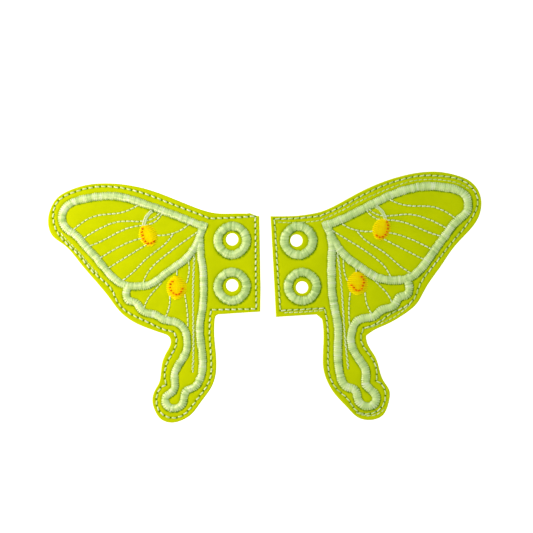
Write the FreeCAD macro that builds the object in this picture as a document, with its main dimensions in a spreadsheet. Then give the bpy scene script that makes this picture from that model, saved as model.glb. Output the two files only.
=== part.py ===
import FreeCAD, Part
import os
import Sketcher

# A pair of embroidered vinyl wings that lace on to shoes, laid out flat and face up.
# Each wing is drawn in its own plane: u runs out from the lace tab to the wing tip and v runs up,
# from a zero half way between its two eyelets. The left wing is the mirror image of the right one.
# +Z is up, and z = 0 is the underside of the back vinyl.

Vector = FreeCAD.Vector
UP = Vector(0, 0, 1)
SIDES = {"left": -1, "right": 1}

doc = FreeCAD.newDocument("shoe_wings")

# ---------------------------------------------------------------- driving sizes, mm and degrees

SIZES = {
    "vinyl_thickness": 0.85,
    "stabiliser_thickness": 0.2,
    "satin_width": 3.2,
    "satin_height": 0.75,
    "thread_width": 0.6,
    "thread_height": 0.3,
    "vein_width": 0.85,
    "double_vein_width": 1.2,
    "bobbin_depth": 0.25,
    "eyelet_pitch": 19.8,
    "eyelet_outer_radius": 8.05,
    "eyelet_inner_radius": 4.4,
    "back_eyelet_outer_radius": 7.3,
    "back_eyelet_inner_radius": 5.0,
    "lace_hole_radius": 2.65,
    "spot_height": 0.75,
    "fore_spot_long": 9.6,
    "fore_spot_wide": 7.4,
    "fore_spot_lean": 24.0,
    "hind_spot_long": 10.2,
    "hind_spot_wide": 8.0,
    "hind_spot_lean": 4.0,
    "accent_width": 0.7,
    "fold_tilt": 3.3,
    "fold_start": 7.97,
    "fold_end": 9.97,
    "fold_foot": -24.2,
    "zone_margin": 100.0,
    "left_wing_x": -14.015,
    "left_wing_y": 14.557,
    "left_wing_turn": 0.0,
    "right_wing_x": 15.355,
    "right_wing_y": 14.467,
    "right_wing_turn": 4.55,
    "left_vein_drop": 0.0,
    "right_vein_drop": 0.6,
}

sizes = doc.addObject("Spreadsheet::Sheet", "Sizes")
for row, (alias, value) in enumerate(SIZES.items(), start=1):
    sizes.set(f"A{row}", alias)
    sizes.set(f"B{row}", str(value))
    sizes.setAlias(f"B{row}", alias)
doc.recompute()


def size(alias):
    return float(sizes.get(alias))


FACE = size("vinyl_thickness") * 2 + size("stabiliser_thickness")   # the embroidered face of the vinyl

STATION_STEP = 1.2     # mm between the places where a band's two edges are set out
FEWEST_STEPS = 4       # for the shortest bands
JUST_SHORT = 0.999999  # of a curve's length, because FreeCAD refuses its very end
FOLDED_OVER = 0.985    # an edge point nearer than this share of the half width lies inside a tight bend

# ---------------------------------------------------------------- drawn curves, (u, v) in mm
# A route is a list of stretches that meet at corners. A stretch is a smooth curve through its points,
# or a straight line where it has only two.

VINYL_EDGE = {
    "left": [
        [(-6.4, 21.4), (0, 21.4), (5, 21.4), (9, 21.9), (15, 23.7), (25, 27.7), (35, 31.4), (45, 33.7),
         (55, 34.4), (63.3, 33.6), (70, 31.4), (75, 28.4), (78.3, 23), (79.2, 17.3), (77.2, 11.7),
         (72.7, 8.2), (65.3, 0), (57.3, -9.3), (52.7, -15), (48.4, -20.6), (41.3, -25.8), (35, -28.4),
         (30, -30.1), (27.2, -31.5), (26.4, -33.2), (27.9, -37.7), (29.8, -41.8), (30.7, -47.4),
         (31.4, -51.3), (33.4, -55), (34.3, -59.3), (33.1, -63.6), (30.8, -66.9), (27, -68.5),
         (22, -67.7), (17.6, -65), (13.2, -59.4), (8.6, -52.7), (6.9, -46), (7.7, -31), (7.6, -25),
         (7, -22.6), (5.2, -21.9)],
        [(5.2, -21.9), (-12.1, -20.8)],
        [(-12.1, -20.8), (-12.25, -10.4)],
        [(-12.25, -10.4), (-11.7, 20.3)],
        [(-11.7, 20.3), (-10, 20.6)],
        [(-10, 20.6), (-7.6, 21.6)],
        [(-7.6, 21.6), (-6.4, 21.4)],
    ],
    "right": [
        [(-11.2, 21.3), (-5, 20.8), (0, 20.6), (5, 20.8), (10, 21.4), (15, 22.9), (25, 27.3), (35, 31.2),
         (45, 33.8), (55, 35), (65, 34.1), (70, 32.5), (75, 30), (78.9, 25), (79.6, 18.7), (77.5, 13),
         (70, 5.2), (65, 0.2), (60, -6.1), (55, -12), (52, -16.2), (48.5, -21.2), (43.1, -25.1),
         (35, -29), (30, -30.8), (25.7, -33.3)],
        [(25.7, -33.3), (26.1, -36.8), (29.1, -43), (30.3, -48.3), (31.6, -53), (33.8, -57.4),
         (33.1, -62.7), (30, -68), (24.5, -69.5), (19.5, -68), (15.2, -63.3), (10.5, -57.4),
         (7.5, -51.4), (6.3, -46), (6.5, -40.6), (7.6, -27.4), (7.4, -24.6)],
        [(7.4, -24.6), (5.2, -22.4)],
        [(5.2, -22.4), (-12.3, -22.1)],
        [(-12.3, -22.1), (-11.7, 0.3)],
        [(-11.7, 0.3), (-11.2, 21.3)],
    ],
}

# The running stitch round the whole wing, sewn last, through every layer.
EDGE_ROW = {
    "left": [
        [(9.7, 19.3), (16.1, 21.8), (26.1, 25.6), (35.5, 29.2), (46.3, 32.2), (58, 32.9), (69.7, 29.9),
         (75.2, 26.3), (77, 20.3), (75, 13.2), (66.3, 4), (59, -4.5), (52, -11), (48.8, -17.4),
         (42.9, -22.2), (35.9, -25.5), (30.6, -28), (25.2, -29.4)],
        [(25.2, -29.4), (23.8, -33.5), (25.6, -38.5), (28.3, -43.8), (29, -48.3), (28.2, -52.2)],
        [(28.2, -52.2), (31.2, -54.2), (32.5, -58.6), (31.4, -63.3), (25.8, -66.5), (20.1, -64.6),
         (16.8, -60.8), (12.5, -55.2), (9.6, -50.2), (8.9, -45), (9.4, -35), (9.6, -25), (9, -20)],
        [(9, -20), (-10.4, -19.6)],
        [(-10.4, -19.6), (-10, 20.3)],
        [(-10, 20.3), (0, 19.6), (9.7, 19.3)],
    ],
    "right": [
        [(9.6, 19.7), (15, 21.3), (26, 25.8), (36.5, 30), (45, 32.3), (55, 33.5), (65, 32.4), (70, 31.1),
         (76.4, 26.4), (78.2, 20), (75.6, 14.5), (65.3, 3.5), (60.5, -1.7), (53.2, -9.5), (50.1, -13.8),
         (48, -18.4), (42.6, -22.4), (37, -24.6), (32, -27.6), (25, -29.8)],
        [(25, -29.8), (23.4, -35), (25.4, -39.8), (28.2, -44.5), (28.5, -52.8)],
        [(28.5, -52.8), (31, -54.8), (32, -59.3), (30, -64.3), (24.5, -66.8), (19.4, -65.4),
         (15.9, -60), (11.2, -54.9), (8.5, -48), (8.5, -43), (9.3, -35), (9.4, -25), (8.8, -20)],
        [(8.8, -20), (-10.2, -19.5)],
        [(-10.2, -19.5), (-9.6, 20)],
        [(-9.6, 20), (0, 19.5), (9.6, 19.7)],
    ],
}

# The earlier row that holds the front vinyl to the stabiliser, where it shows beside the edge row.
TACK_ROW = {
    "left": [
        [(73.8, 13.1), (68.5, 7.4), (64, 2.6), (60.6, -1.6), (57.6, -4.6)],
    ],
    "right": [
        [(9.8, 17.8), (18, 20.7), (30, 25.6), (40, 29), (47.5, 31), (55, 31.8), (64, 30.9), (70, 29.2),
         (75, 26)],
        [(9.8, 17.8), (4, 17.6), (-8.4, 18.5)],
        [(8.3, -20.9), (-2, -20.8), (-8.8, -20.5)],
        [(46, -20.6), (40, -25.3), (34, -27.9), (29.5, -29.3), (26.2, -29.9)],
        [(31.2, -65.2), (26.6, -67.6), (22, -67.2), (18.8, -65.7)],
    ],
}

# Middle lines of the two satin borders. They cross at the wing root, with the forewing's on top.
FORE_BORDER = {
    "left": [
        [(12.4, 16.2), (15, 17), (20, 18.9), (30, 22.8), (40, 26.4), (48, 28.6), (55, 29), (65, 27.4),
         (70, 25.6), (72.4, 23.1), (73.2, 19.8), (72.4, 16.3), (67.5, 12.3), (63.4, 7.8), (59.2, 3.3),
         (55.7, -1.1), (52, -5.3), (47.2, -9), (40, -9.8), (36, -9.2), (28.2, -4.1), (20, 1.9),
         (15.7, 7.7), (13.4, 13.1), (12.4, 16.2)],
    ],
    "right": [
        [(12.6, 15.75), (15, 16.3), (20, 17.8), (25, 19.8), (35, 24), (45, 27.4), (55, 28.9),
         (65, 27.7), (70, 26.1), (73.1, 23.5), (74, 20), (73, 16.5), (68.6, 12.9), (63.7, 7.8),
         (58.4, 1.7), (53.4, -4.4), (50.7, -7), (46.8, -9.6), (40, -10.3), (35, -9.5), (25, -3.1),
         (19.9, 1.4), (16.6, 5.6), (14.3, 10.6), (12.6, 15.75)],
    ],
}
HIND_BORDER = {
    "left": [
        [(13.7, 11.5), (13.8, 6.6), (13.4, 2.6), (12.7, -2), (12.4, -6), (12.3, -13), (13.1, -21),
         (14, -28), (13.4, -35), (13, -46.8), (14.2, -50.6), (16.4, -53.3), (19.8, -55), (21.2, -60),
         (24.8, -62.4), (28.2, -61), (28.4, -57.3), (25.8, -55.4), (24.7, -51), (24.9, -48.4),
         (22.5, -42.9), (19.7, -37.6), (19.5, -32), (21.2, -27.5), (24.9, -25), (29.5, -24.2),
         (33, -22.1), (37.2, -21.2), (39.7, -19.1), (41.5, -16.8), (44.3, -16.1), (45.5, -14.2),
         (45.2, -11)],
    ],
    "right": [
        [(13.5, 11.8), (14, 9.6), (14.1, 4.9), (13.5, 1), (13, -5), (12.6, -13), (13.1, -20),
         (14, -28), (13.4, -35), (12.8, -44), (13.3, -50), (15.4, -54.3), (19, -55.9), (19.9, -59.3),
         (21.4, -62.5), (24.5, -63.6), (27.4, -62), (27.8, -58.9), (26.2, -56.8), (24.1, -54.4),
         (24.4, -48.5), (23.1, -45), (19.5, -38), (19, -34.5), (20, -30), (21.7, -27.2), (25, -25.6),
         (30, -25), (33, -22.8), (36.4, -22), (39.3, -20.6), (41.5, -17.6), (44.6, -16.9),
         (45.7, -14.8), (45.4, -11.4)],
    ],
}

FORE_VEINS = [
    [(40.4, 25.1), (45.3, 22.5), (52.3, 21.2), (59, 20.3), (64.7, 17.3), (68.3, 14.4)],
    [(31, 22), (34.8, 18.9), (40.7, 18), (48, 18), (54.7, 16), (60.7, 12.8), (64, 10.6)],
    [(29.8, 22), (34.3, 17.2), (42.3, 15.8), (49, 13.3), (55.7, 9.8), (61.4, 7.4)],
    [(37.9, 16), (36.6, 20.3), (34.2, 22.5)],
    [(38.6, 10.9), (45.7, 8.5), (52.3, 5), (57.3, 2)],
    [(36.4, 8.3), (44.7, 3.2), (53.3, -2.1)],
    [(25.4, 12.6), (28.6, 8.5), (36.4, 2.4), (41.7, -3), (47.2, -7.4)],
    [(14.3, 13.9), (22.9, 7.8), (31.4, 1.2), (37.1, -5.4), (38.2, -8.6)],
    [(32.4, 12), (26.4, 12.6), (21.6, 14.5), (17.8, 17.6)],
]
HIND_VEINS = [
    [(30.2, -8.2), (33.8, -12.2), (36.6, -16), (38, -19.6)],
    [(26.8, -13.8), (27.7, -21), (28.9, -23.4)],
    [(20.4, -13.2), (19.3, -20.3), (19, -27.4)],
    [(18.7, 1), (18.4, -3), (19.6, -8.6)],
    [(23.8, -2.6), (23.6, -5.4)],
]
TAIL_VEIN = [(16.2, 3.4), (16.8, -14), (16.6, -35.3), (17, -46.6)]

FORE_SPOT_CENTRE = (36, 12.1)
HIND_SPOT_CENTRE = (23.7, -10.4)
FORE_ACCENT = [(38.4, 14.8), (38.3, 11), (36.4, 8.6), (33.6, 9.4)]
HIND_ACCENT = [(25.8, -7.8), (26.5, -10.8), (24.2, -13.5), (21.2, -11)]

LACE_HOLES = {
    "left": {"upper": (0, 10.3), "lower": (0, -9.5)},
    "right": {"upper": (-0.9, 10), "lower": (-0.1, -10.3)},
}

# ---------------------------------------------------------------- helpers

subparts = []


def placed(side, u, v, z=0.0):
    """The point (u, v) of a wing's drawing, in that wing's own plane."""
    return Vector(SIDES[side] * u, v, z)


def dropped(side, route):
    """A route as it was sewn: the vinyl of one wing had crept a little in its hoop."""
    drop = size(f"{side}_vein_drop")
    return [[(u, v - drop) for u, v in stretch] for stretch in route]


def wing_placement(side):
    base = Vector(size(f"{side}_wing_x"), size(f"{side}_wing_y"), 0)
    return FreeCAD.Placement(base, FreeCAD.Rotation(UP, size(f"{side}_wing_turn")))


def finish(item, side, name, offset=None):
    """Name a sub-part and put it where its wing lies."""
    item.Label = f"{side}_{name}"
    item.Placement = wing_placement(side)
    if offset is not None:
        item.Placement = wing_placement(side).multiply(FreeCAD.Placement(offset, FreeCAD.Rotation()))
    subparts.append(item)
    return item


def combine(kind, name, base, *tools):
    """A boolean of document objects: Part::Common, Part::Cut or Part::MultiFuse."""
    item = doc.addObject(kind, name)
    if kind == "Part::MultiFuse":
        item.Shapes = [base, *tools]
        return item
    item.Base = base
    item.Tool = tools[0]
    return item


def twin(tool):
    """The same shape again as a sub-part, so that the tool itself stays in the wing's own plane."""
    item = doc.addObject("Part::Compound", f"{tool.Name}_twin")
    item.Links = [tool]
    return item


def curve(points):
    if len(points) == 2:
        return Part.LineSegment(points[0], points[1])
    smooth = Part.BSplineCurve()
    smooth.interpolate(points)
    return smooth


def band_side(stations, half, hand):
    """One edge of a band, without the points that a tight bend would fold over."""
    kept = []
    for point, along in stations:
        edge = point + Vector(-along.y, along.x, 0) * (half * hand)
        nearest = min((edge - other).Length for other, _ in stations)
        if nearest > half * FOLDED_OVER:
            kept.append(edge)
    return kept


def band_stations(points, width):
    """Points and directions along a smooth curve, which runs on straight for half a width at each end."""
    line = curve(points).toShape()
    count = max(FEWEST_STEPS, round(line.Length / STATION_STEP))
    stations = []
    for index in range(count + 1):
        parameter = line.getParameterByLength(min(index / count, JUST_SHORT) * line.Length)
        stations.append((line.valueAt(parameter), line.tangentAt(parameter).normalize()))
    first, along = stations[0]
    stations.insert(0, (first - along * (width / 2), along))
    last, along = stations[-1]
    stations.append((last + along * (width / 2), along))
    return stations


def band_face(stations, half):
    left = band_side(stations, half, 1)
    right = band_side(stations, half, -1)
    edges = [
        curve(left).toShape(),
        Part.LineSegment(left[-1], right[-1]).toShape(),
        curve(right[::-1]).toShape(),
        Part.LineSegment(right[0], left[0]).toShape(),
    ]
    return Part.Face(Part.Wire(edges))


def band_faces(points, width):
    """A flat band along a curve, in two lengths where the curve closes on itself at a corner."""
    stations = band_stations(points, width)
    if points[0].distanceToPoint(points[-1]) > width:
        return [band_face(stations, width / 2)]
    middle = len(stations) // 2
    return [band_face(stations[:middle + 1], width / 2), band_face(stations[middle:], width / 2)]


def band(name, side, route, width, level, height):
    """Thread laid along a route, as one flat band of its width and height."""
    solids = []
    for stretch in route:
        points = [placed(side, u, v, level) for u, v in stretch]
        solids += [face.extrude(UP * height) for face in band_faces(points, width)]
    item = doc.addObject("Part::Feature", f"{side}_{name}")
    item.Shape = solids[0].multiFuse(solids[1:]) if len(solids) > 1 else solids[0]
    return item


def bind(item, **formulas):
    for property_name, formula in formulas.items():
        item.setExpression(property_name, formula)
    return item


# ---------------------------------------------------------------- zones of a wing: tab, fold, wing

def zone(side, name, start, end, foot):
    """A tall block across the wing's plane, between two distances from the eyelets' line."""
    block = doc.addObject("Part::Box", f"{side}_{name}_zone")
    bind(
        block,
        Length=f"({end}) - ({start})",
        Width=f"Sizes.zone_margin - ({foot})",
        Height="Sizes.zone_margin",
    )
    hand = SIDES[side]
    turn = FreeCAD.Rotation(UP, -hand * size("fold_tilt"))
    near = float(sizes.evalExpression(start))
    far = float(sizes.evalExpression(end))
    low = float(sizes.evalExpression(foot))
    corner = Vector(near if hand > 0 else -far, low, -size("zone_margin") / 2)
    block.Placement = FreeCAD.Placement(turn.multVec(corner), turn)
    return block


def make_zones(side):
    tab = zone(side, "tab", "-Sizes.zone_margin", "Sizes.fold_start", "-Sizes.zone_margin")
    fold = zone(side, "fold", "Sizes.fold_start", "Sizes.fold_end", "Sizes.fold_foot")
    return tab, fold, combine("Part::MultiFuse", f"{side}_tab_and_fold_zone", tab, fold)


# ---------------------------------------------------------------- vinyl and stabiliser sheets

def make_outline(side):
    outline = doc.addObject("Sketcher::SketchObject", f"{side}_outline")
    for stretch in VINYL_EDGE[side]:
        outline.addGeometry(curve([placed(side, u, v) for u, v in stretch]), False)
    return outline


def make_lace_punch(side):
    punches = []
    for name, (u, v) in LACE_HOLES[side].items():
        punch = doc.addObject("Part::Cylinder", f"{side}_{name}_lace_punch")
        bind(punch, Radius="Sizes.lace_hole_radius", Height="Sizes.zone_margin")
        punch.Placement.Base = placed(side, u, v, -size("zone_margin") / 2)
        punches.append(punch)
    return combine("Part::MultiFuse", f"{side}_lace_punches", *punches)


def make_layer(side, name, outline, zones, punches, level, thickness, groove=None):
    """One sheet of a wing, cut from one outline and shared out between the tab, the fold and the wing."""
    sheet = doc.addObject("Part::Extrusion", f"{side}_{name}_sheet")
    sheet.Base = outline
    sheet.DirMode = "Custom"
    sheet.Dir = UP
    sheet.Solid = True
    sheet.setExpression("LengthFwd", f"Sizes.{thickness}")
    sheet.setExpression(".Placement.Base.z", level)
    if groove is not None:
        sheet = combine("Part::Cut", f"{side}_{name}_grooved", sheet, groove)
    tab_zone, fold_zone, tab_and_fold_zone = zones
    tab = combine("Part::Common", f"{side}_{name}_tab_piece", sheet, tab_zone)
    finish(combine("Part::Cut", f"{side}_{name}_tab", tab, punches), side, f"tab_{name}")
    finish(combine("Part::Common", f"{side}_{name}_fold", sheet, fold_zone), side, f"fold_{name}")
    finish(combine("Part::Cut", f"{side}_{name}_wing", sheet, tab_and_fold_zone), side, f"wing_{name}")


# ---------------------------------------------------------------- eyelets

def make_eyelet_ring(side, name, v):
    """A ring of satin stitch: a domed section turned round the eyelet's axis."""
    body = doc.addObject("PartDesign::Body", f"{side}_{name}_eyelet")
    plane = [item for item in body.Origin.OriginFeatures if item.Role == "XZ_Plane"][0]
    section = body.newObject("Sketcher::SketchObject", f"{side}_{name}_eyelet_section")
    section.AttachmentSupport = [(plane, "")]
    section.MapMode = "FlatFace"
    inner = size("eyelet_inner_radius")
    outer = size("eyelet_outer_radius")
    crown = size("satin_height")
    start = Vector(inner, 0, 0)
    end = Vector(outer, 0, 0)
    top = Vector((inner + outer) / 2, crown, 0)
    base_line = section.addGeometry(Part.LineSegment(start, end), False)
    dome = section.addGeometry(Part.Arc(end, top, start), False)
    crown_point = section.addGeometry(Part.Point(top), False)
    section.addConstraint(Sketcher.Constraint("Coincident", base_line, 2, dome, 1))
    section.addConstraint(Sketcher.Constraint("Coincident", base_line, 1, dome, 2))
    section.addConstraint(Sketcher.Constraint("Horizontal", base_line))
    section.addConstraint(Sketcher.Constraint("PointOnObject", base_line, 1, -1))
    section.addConstraint(Sketcher.Constraint("PointOnObject", crown_point, 1, dome))
    inner_size = section.addConstraint(Sketcher.Constraint("DistanceX", -1, 1, base_line, 1, inner))
    outer_size = section.addConstraint(Sketcher.Constraint("DistanceX", -1, 1, base_line, 2, outer))
    crown_across = section.addConstraint(Sketcher.Constraint("DistanceX", -1, 1, crown_point, 1, top.x))
    crown_size = section.addConstraint(Sketcher.Constraint("DistanceY", -1, 1, crown_point, 1, crown))
    section.setExpression(f"Constraints[{inner_size}]", "Sizes.eyelet_inner_radius")
    section.setExpression(f"Constraints[{outer_size}]", "Sizes.eyelet_outer_radius")
    section.setExpression(
        f"Constraints[{crown_across}]", "(Sizes.eyelet_inner_radius + Sizes.eyelet_outer_radius) / 2")
    section.setExpression(f"Constraints[{crown_size}]", "Sizes.satin_height")
    ring = body.newObject("PartDesign::Revolution", f"{side}_{name}_eyelet_turned")
    ring.Profile = section
    ring.ReferenceAxis = (section, ["V_Axis"])
    ring.Angle = 360
    body.Tip = ring
    return finish(body, side, f"{name}_eyelet_ring", placed(side, 0, v, FACE))


def make_back_rings(side):
    """The bobbin side of the two eyelets, sunk flush into the back vinyl."""
    rings = []
    for name, sign in (("upper", 1), ("lower", -1)):
        discs = []
        for edge in ("outer", "inner"):
            disc = doc.addObject("Part::Cylinder", f"{side}_{name}_back_eyelet_{edge}")
            bind(disc, Radius=f"Sizes.back_eyelet_{edge}_radius", Height="Sizes.bobbin_depth")
            disc.Placement.Base = placed(side, 0, sign * size("eyelet_pitch") / 2)
            discs.append(disc)
        rings.append(combine("Part::Cut", f"{side}_{name}_back_eyelet", *discs))
    return combine("Part::MultiFuse", f"{side}_back_eyelets", *rings)


# ---------------------------------------------------------------- eyespots

def make_spot(side, name, centre, accent_points):
    """A low dome of yellow satin stitch, with a crescent of accent stitches let into it."""
    dome = doc.addObject("Part::Ellipsoid", f"{side}_{name}_spot_dome")
    bind(
        dome,
        Radius1="Sizes.spot_height",
        Radius2=f"Sizes.{name}_spot_wide / 2",
        Radius3=f"Sizes.{name}_spot_long / 2",
    )
    dome.Angle1 = 0
    lean = FreeCAD.Rotation(UP, -SIDES[side] * size(f"{name}_spot_lean"))
    dome.Placement = FreeCAD.Placement(placed(side, *centre, FACE), lean)
    width = size("accent_width")
    height = size("spot_height") + size("thread_height") / 2
    accent = band(f"{name}_accent", side, [accent_points], width, FACE, height)
    spot = combine("Part::Cut", f"{side}_{name}_spot", dome, accent)
    finish(spot, side, f"{name}wing_eyespot")
    finish(twin(accent), side, f"{name}wing_eyespot_accent")
    return dome


# ---------------------------------------------------------------- running stitches

def make_rows(side, zones):
    """The rows of running stitch on both faces, shared out between the tab, the fold and the wing."""
    tab_zone, fold_zone, tab_and_fold_zone = zones
    width = size("thread_width")
    height = size("thread_height")
    edge_row = band("edge_row", side, EDGE_ROW[side], width, FACE, height)
    tack_row = band("tack_row", side, TACK_ROW[side], width, FACE, height)
    back_row = band("back_row", side, EDGE_ROW[side], width, 0, size("bobbin_depth"))
    ring_room = doc.addObject("Part::Cylinder", f"{side}_ring_room")
    bind(ring_room, Radius="Sizes.eyelet_outer_radius", Height="Sizes.zone_margin")
    ring_room.Placement.Base = placed(side, 0, size("eyelet_pitch") / 2)
    over_tack = combine("Part::MultiFuse", f"{side}_over_tack", edge_row, ring_room)
    tack_row = combine("Part::Cut", f"{side}_tack_row_shown", tack_row, over_tack)
    all_rows = combine("Part::MultiFuse", f"{side}_all_rows", edge_row, tack_row, back_row)

    tab_edge = combine("Part::Common", f"{side}_tab_edge", edge_row, tab_zone)
    tab_back = combine("Part::Common", f"{side}_tab_back_row", back_row, tab_zone)
    fold_rows = combine("Part::Common", f"{side}_fold_rows", all_rows, fold_zone)
    wing_edge = combine("Part::Cut", f"{side}_wing_edge", edge_row, tab_and_fold_zone)
    wing_back = combine("Part::Cut", f"{side}_wing_back_row", back_row, tab_and_fold_zone)
    wing_tack = combine("Part::Cut", f"{side}_wing_tack", tack_row, tab_and_fold_zone)
    finish(tab_edge, side, "tab_edge_stitching")
    finish(tab_back, side, "tab_back_stitching")
    finish(fold_rows, side, "fold_stitching")
    finish(wing_edge, side, "wing_edge_stitching")
    finish(wing_back, side, "wing_back_stitching")
    finish(wing_tack, side, "wing_tack_down_stitching")
    if side == "right":
        tab_tack = combine("Part::Common", f"{side}_tab_tack", tack_row, tab_zone)
        finish(tab_tack, side, "tab_tack_down_stitching")
    return back_row


# ---------------------------------------------------------------- satin borders and veins

def make_borders(side, zones):
    """The two satin borders. The forewing's lies over the hindwing's and stops short of the fold."""
    width = size("satin_width")
    height = size("satin_height")
    fore_border = band("fore_border", side, FORE_BORDER[side], width, FACE, height)
    hind_border = band("hind_border", side, HIND_BORDER[side], width, FACE, height)
    hind_border = combine("Part::Cut", f"{side}_hind_border_shown", hind_border, fore_border)
    fore_shown = combine("Part::Cut", f"{side}_fore_border_shown", fore_border, zones[-1])
    finish(fore_shown, side, "forewing_border")
    finish(twin(hind_border), side, "hindwing_border")
    return fore_border, hind_border


def make_veins(side, covers):
    """Running stitch along the veins, where no border or eyespot covers it."""
    width = size("vein_width")
    height = size("thread_height")
    cover = combine("Part::MultiFuse", f"{side}_over_veins", *covers)
    fore_veins = band("fore_veins", side, dropped(side, FORE_VEINS), width, FACE, height)
    hind_veins = band("hind_veins", side, dropped(side, HIND_VEINS), width, FACE, height)
    tail_vein = band("tail_vein", side, [TAIL_VEIN], size("double_vein_width"), FACE, height)
    hind_veins = combine("Part::MultiFuse", f"{side}_hind_and_tail_veins", hind_veins, tail_vein)
    fore_shown = combine("Part::Cut", f"{side}_fore_veins_shown", fore_veins, cover)
    hind_shown = combine("Part::Cut", f"{side}_hind_veins_shown", hind_veins, cover)
    finish(fore_shown, side, "forewing_veins")
    finish(hind_shown, side, "hindwing_veins")


# ---------------------------------------------------------------- one whole wing

def make_wing(side):
    zones = make_zones(side)
    outline = make_outline(side)
    punches = make_lace_punch(side)

    back_row = make_rows(side, zones)
    back_rings = make_back_rings(side)
    back_rings_shown = combine("Part::Common", f"{side}_back_rings_shown", back_rings, zones[0])
    finish(back_rings_shown, side, "back_eyelet_stitching")
    groove = combine("Part::MultiFuse", f"{side}_bobbin_groove", back_row, back_rings)
    make_layer(side, "back_vinyl", outline, zones, punches, "0", "vinyl_thickness", groove)
    make_layer(side, "stabiliser", outline, zones, punches, "Sizes.vinyl_thickness", "stabiliser_thickness")
    front_level = "Sizes.vinyl_thickness + Sizes.stabiliser_thickness"
    make_layer(side, "front_vinyl", outline, zones, punches, front_level, "vinyl_thickness")

    eyelet_height = size("eyelet_pitch") / 2
    make_eyelet_ring(side, "upper", eyelet_height)
    make_eyelet_ring(side, "lower", -eyelet_height)
    fore_border, hind_border = make_borders(side, zones)
    fore_dome = make_spot(side, "fore", FORE_SPOT_CENTRE, FORE_ACCENT)
    hind_dome = make_spot(side, "hind", HIND_SPOT_CENTRE, HIND_ACCENT)
    make_veins(side, [fore_border, hind_border, fore_dome, hind_dome])


def check(item):
    """Stop before anything is written if an object failed or a sub-part has no sound shape."""
    faults = [state for state in item.State if state in ("Invalid", "Error")]
    if faults:
        raise RuntimeError(f"{item.Label}: {faults}")
    if item in subparts and (item.Shape.isNull() or not item.Shape.isValid() or not item.Shape.Solids):
        raise RuntimeError(f"{item.Label}: its shape is not sound")


for wing_side in SIDES:
    make_wing(wing_side)

doc.recompute()
for thing in doc.Objects:
    check(thing)

os.makedirs("parts", exist_ok=True)
for subpart in subparts:
    subpart.Shape.exportStep(f"parts/{subpart.Label}.step")

whole = FreeCAD.BoundBox()
for subpart in subparts:
    whole.add(subpart.Shape.BoundBox)
print(len(subparts), "sub-parts,", whole)
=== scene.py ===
import math
import random

import bpy
import numpy as np
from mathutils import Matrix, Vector
from mathutils.geometry import delaunay_2d_cdt
from mathutils.kdtree import KDTree


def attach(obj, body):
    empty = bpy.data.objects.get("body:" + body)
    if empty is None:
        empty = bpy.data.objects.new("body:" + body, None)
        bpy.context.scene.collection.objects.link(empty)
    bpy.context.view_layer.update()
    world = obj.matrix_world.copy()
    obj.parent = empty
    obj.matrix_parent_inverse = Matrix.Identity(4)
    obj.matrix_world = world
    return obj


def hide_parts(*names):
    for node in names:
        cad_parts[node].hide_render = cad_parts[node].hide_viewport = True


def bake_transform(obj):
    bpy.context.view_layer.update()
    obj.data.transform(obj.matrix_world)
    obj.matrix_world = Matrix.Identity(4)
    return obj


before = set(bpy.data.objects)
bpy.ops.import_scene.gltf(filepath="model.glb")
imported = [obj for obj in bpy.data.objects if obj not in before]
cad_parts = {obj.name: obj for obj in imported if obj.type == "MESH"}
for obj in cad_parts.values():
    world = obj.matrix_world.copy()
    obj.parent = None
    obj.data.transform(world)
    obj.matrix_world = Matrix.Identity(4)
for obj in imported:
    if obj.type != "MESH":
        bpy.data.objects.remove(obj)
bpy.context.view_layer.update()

# A pair of embroidered vinyl wings that lace on to shoes, face up. Each wing is drawn in millimetres in its
# own plane, as in the CAD part: u runs out from the lace tab to the wing tip, v runs up, and the zero is
# half way between the two eyelets. The left wing is the mirror image of the right one.

MM = 0.001
SIDES = {"left": -1, "right": 1}
WING_PLACE = {"left": (-14.015, 14.557, 0.0), "right": (15.355, 14.467, 4.55)}   # x, y in mm, turn in degrees

# the sheets, and the strip that bends between the tab and the wing
VINYL = 0.85
STABILISER = 0.2
FACE = 2 * VINYL + STABILISER      # the embroidered face, above the underside of the back vinyl
LACE_HOLE = 2.65
HOLE_SIDES = 60
EDGE_PUSH = 0.04                   # how far the middle of the cut edge stands out
EDGE_LEVELS = (0.12, 0.5, 0.88)    # shares of the way down the cut edge
FOLD_TILT = math.radians(3.3)
FOLD_START = 7.97
FOLD_END = 9.97

# satin stitch: shares across a strand, and its sizes
SHARES = np.array([-1, -0.97, -0.88, -0.7, -0.4, 0, 0.4, 0.7, 0.88, 0.97, 1])
SATIN_HALF = {"left": 1.58, "right": 1.72}
SATIN_HEIGHT = 0.75
SINK = 0.3              # how deep a thread's ends go into the vinyl
STRAND_PITCH = 0.4
STRAND_HALF_WIDTH = 0.23
STRAND_HALF_HEIGHT = 0.13
END_CAP = 4             # places at either end of a band that its pull on the vinyl leaves out
BAND_OVERLAP = 0.45     # a band is not sewn nearer than this to the middle of one that lies over it
RING_PITCH = 0.43
EYELET_LEVELS = (9.9, -9.9)
EYELET_INNER = 4.35
EYELET_OUTER = 7.95
BACK_EYELET_INNER = 5.0
BACK_EYELET_OUTER = 7.3
BACK_EYELET_STRANDS = 104
SPOT_PITCH = 0.42
SPOT_REACH = 1.1        # the ends of an eyespot's strands dip into the vinyl this far out
SPOT_END = 0.42         # an eyespot's height at its two ends, as a share of its height in the middle
ACCENT_PITCH = 1.45

# running stitch, from needle hole to needle hole
EDGE_PITCH = 2.75
EDGE_FILL = {"left": 0.7, "right": 0.82}      # how much of its pitch a stitch covers
EDGE_THREAD = {"left": (0.205, 0.75), "right": (0.165, 0.45)}     # its thickness in mm, and its least tone
TACK_PITCH = 2.1
VEIN_PITCH = 2.05
VEIN_DROP = {"left": 0.0, "right": 0.6}
TAIL_PITCH = 1.9
PLY_LAY = 1.15          # the length of one turn of a thread's two plies

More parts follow.
